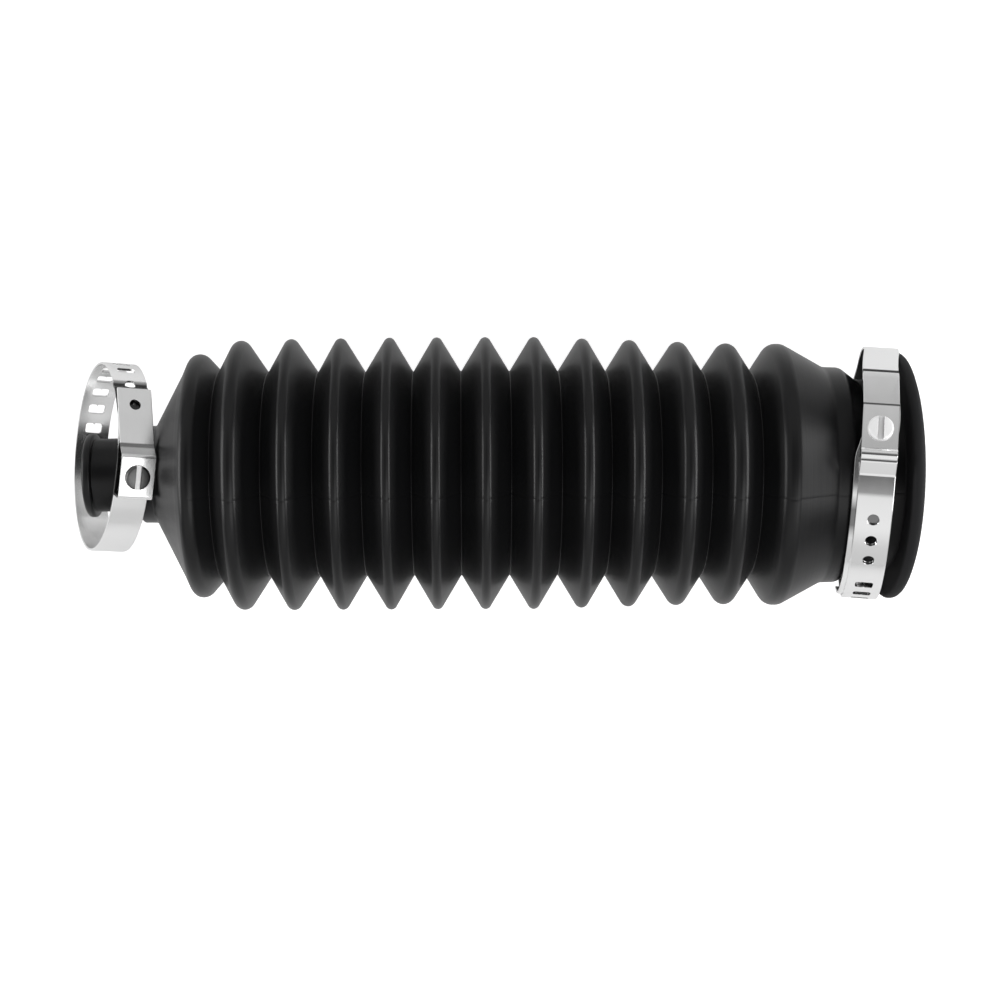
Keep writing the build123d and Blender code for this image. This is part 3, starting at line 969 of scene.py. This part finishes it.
# %% Table
camera_glow, mirror_glow = 0.72, 0.13
bpy.ops.mesh.primitive_plane_add(size=4)
table = bpy.context.object
table.name = "table"
paper, nodes, links, shader = new_material("white_table")
shader.inputs["Base Color"].default_value = (0.8, 0.8, 0.8, 1)
shader.inputs["Roughness"].default_value = 0.9
shader.inputs["Specular IOR Level"].default_value = 0.0
path = nodes.new("ShaderNodeLightPath")
glow = nodes.new("ShaderNodeEmission")
seen = scaled(nodes, links, path.outputs["Is Camera Ray"], camera_glow)
mirrored = scaled(nodes, links, path.outputs["Is Glossy Ray"], mirror_glow)
through = scaled(nodes, links, path.outputs["Is Transmission Ray"], camera_glow)
strength = added(nodes, links, added(nodes, links, seen, mirrored), through)
links.new(strength, glow.inputs["Strength"])
both = nodes.new("ShaderNodeAddShader")
links.new(shader.outputs[0], both.inputs[0])
links.new(glow.outputs[0], both.inputs[1])
links.new(both.outputs[0], nodes["Material Output"].inputs["Surface"])
table.data.materials.append(paper)
print("the table is", round(table.dimensions.x, 1), "m wide")

# %% [markdown]
# Steel shows what is round it, so the light needs some dark in it. The studio is bright
# to both sides, and darker beyond the boot's ends and overhead, where the dark lies a little off
# the zenith.
# On the crests of the folds that gives a dark middle between two bright lines, and on the steel
# a dark band wherever it faces up. Real walls would do the same, but a world of levels by height
# is quicker to tune. The camera sees it much brighter, so that the horizon stays white.

# %% The studio's walls and ceiling
levels = ((0.2, 0.62), (0.5, 0.85), (0.884, 0.86), (0.901, 0.62), (0.917, 0.4), (0.95, 0.12))
horizon_grey, overhead_grey = 0.58, 0.1
lean_up, lean_back = 0.989, 0.15
end_from, end_to, end_light = 0.52, 0.86, 0.1
near_light, far_light = 1.16, 0.76  # towards -Y and towards +Y
white_to_camera = 3
world = bpy.context.scene.world or bpy.data.worlds.new("studio")
bpy.context.scene.world = world
world.use_nodes = True
nodes, links = world.node_tree.nodes, world.node_tree.links
sky = nodes["Background"]
toward = nodes.new("ShaderNodeTexCoord")
parts = nodes.new("ShaderNodeSeparateXYZ")
links.new(toward.outputs["Generated"], parts.inputs[0])
walls = nodes.new("ShaderNodeValToRGB")
points = walls.color_ramp.elements
points[0].position, points[0].color = 0.0, (horizon_grey, horizon_grey, horizon_grey, 1)
points[1].position, points[1].color = 1.0, (overhead_grey, overhead_grey, overhead_grey, 1)
for height, grey in levels:
    points.new(height).color = (grey, grey, grey, 1)
leaned = added(nodes, links, scaled(nodes, links, parts.outputs["Z"], lean_up),
               scaled(nodes, links, parts.outputs["Y"], lean_back))
links.new(leaned, walls.inputs["Fac"])
links.new(walls.outputs["Color"], sky.inputs["Color"])
ends = nodes.new("ShaderNodeMath")
ends.operation = "ABSOLUTE"
links.new(parts.outputs["X"], ends.inputs[0])
dimmed = spread(nodes, links, ends.outputs[0], 1.0, end_light, end_from, end_to)
side = spread(nodes, links, parts.outputs["Y"], near_light, far_light, -1, 1)
level = nodes.new("ShaderNodeMath")
level.operation = "MULTIPLY"
links.new(side, level.inputs[0])
links.new(dimmed, level.inputs[1])
rays = nodes.new("ShaderNodeLightPath")
to_camera = scaled(nodes, links, rays.outputs["Is Camera Ray"], white_to_camera)
links.new(added(nodes, links, level.outputs[0], to_camera), sky.inputs["Strength"])
print("the studio has", len(points), "levels of light from the horizon up")

# %% [markdown]
# Three soft lamps do the rest. One at each end stands low and skims along the boot, which draws
# a bright line on every crest. The key light stands high at the right and gives the steel its
# glints. They are wide area lamps, because a small lamp would leave hard spots on the rubber.

# %% Lamps
boot_middle = Vector((0, 0, 0.03))


def softbox(name, place, size, watts):
    """A flat lamp that faces the boot."""
    bpy.ops.object.light_add(type="AREA", location=place)
    lamp = bpy.context.object
    lamp.name = name
    lamp.data.shape = "RECTANGLE"
    lamp.data.size, lamp.data.size_y = size
    lamp.data.energy = watts
    lamp.rotation_euler = (boot_middle - Vector(place)).to_track_quat("-Z", "Y").to_euler()
    return lamp


lamps = [softbox("left_softbox", (-0.6, 0.03, 0.17), (0.5, 0.2), 2.2),
         softbox("right_softbox", (0.6, 0.03, 0.17), (0.5, 0.2), 2.2),
         softbox("key_softbox", (0.506, -0.358, 0.776), (0.55, 0.5), 1.9)]
print("lamps:", [lamp.name for lamp in lamps])

# %% [markdown]
# The camera hangs straight above the boot and looks down. It is close, so that the ends of the
# boot and the insides of the rings show a little. A far camera with a long lens would show the
# folds only from above. The lens is shifted, which moves the boot in view without a tilt.

# %% Camera
bpy.ops.object.camera_add(location=(-2.351 * mm, 0, 434.6 * mm), rotation=(0, 0, 0))
camera = bpy.context.object
camera.data.sensor_width = 36
camera.data.lens = 65.85
camera.data.shift_x = 0.0345
camera.data.shift_y = -0.0258
camera.data.clip_start, camera.data.clip_end = 0.01, 10
bpy.context.scene.camera = camera
bpy.context.scene.view_settings.view_transform = "Standard"
print("the camera stands", round(camera.location.z / mm), "mm above the table")

# %% [markdown]
# Last, the view layer is updated, so that every piece stands where it was put.

# %% Finish
bpy.context.view_layer.update()
